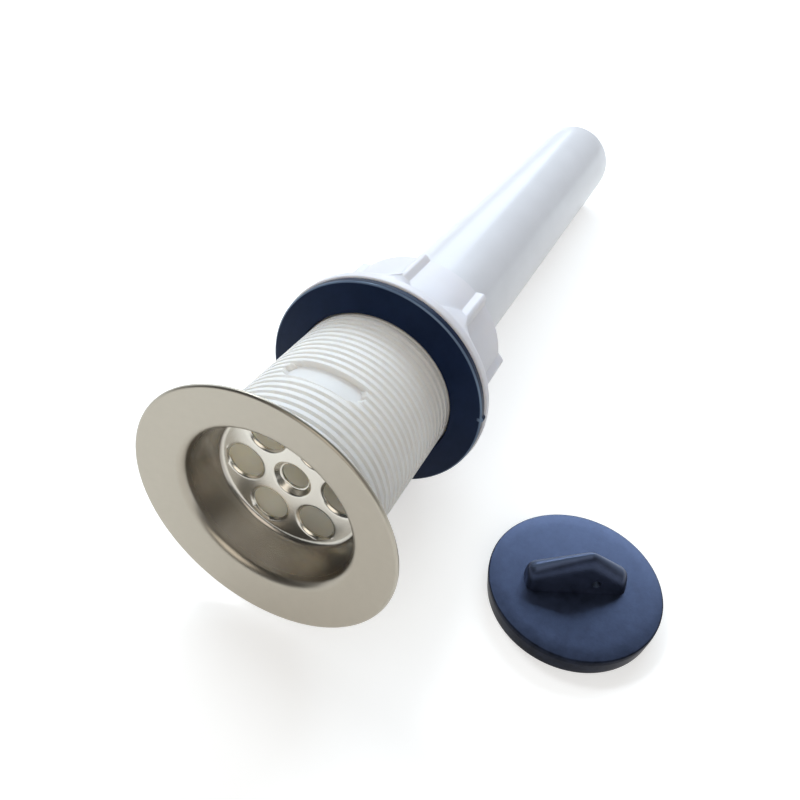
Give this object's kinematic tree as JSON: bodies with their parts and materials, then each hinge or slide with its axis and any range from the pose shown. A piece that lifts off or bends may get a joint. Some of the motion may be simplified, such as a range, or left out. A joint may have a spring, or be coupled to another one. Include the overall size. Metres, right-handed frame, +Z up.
{
  "type": "sink waste",
  "caption": "Sink waste with a dished steel flange and strainer cup, a threaded plastic body, sealing washer, ribbed back nut, long tail pipe and a loose rubber plug with a fin handle.",
  "frame": {"origin": "middle of the bottom of the whole part's box, on the surface that the waste and its plug lie on", "axes": "+Z up from the surface, +X along the waste from its flange towards its tail, which slopes down slightly, +Y away from the plug"},
  "size_m": [0.2908, 0.128, 0.0724],
  "materials": {
    "steel_sheet": "satin flange, polished cup",
    "white_moulding": "matte moulded white plastic",
    "white_pipe": "smooth extruded white plastic",
    "washer_rubber": "smooth dark blue rubber",
    "nut_moulding": "satin moulded white plastic",
    "plug_rubber": "matte dark blue rubber"
  },
  "bodies": {
    "root": {"strainer_cup": "steel_sheet", "waste_body": "white_moulding", "tail_pipe": "white_pipe", "sealing_washer": "washer_rubber", "back_nut": "nut_moulding", "plug": "plug_rubber"}
  },
  "joints": []
}
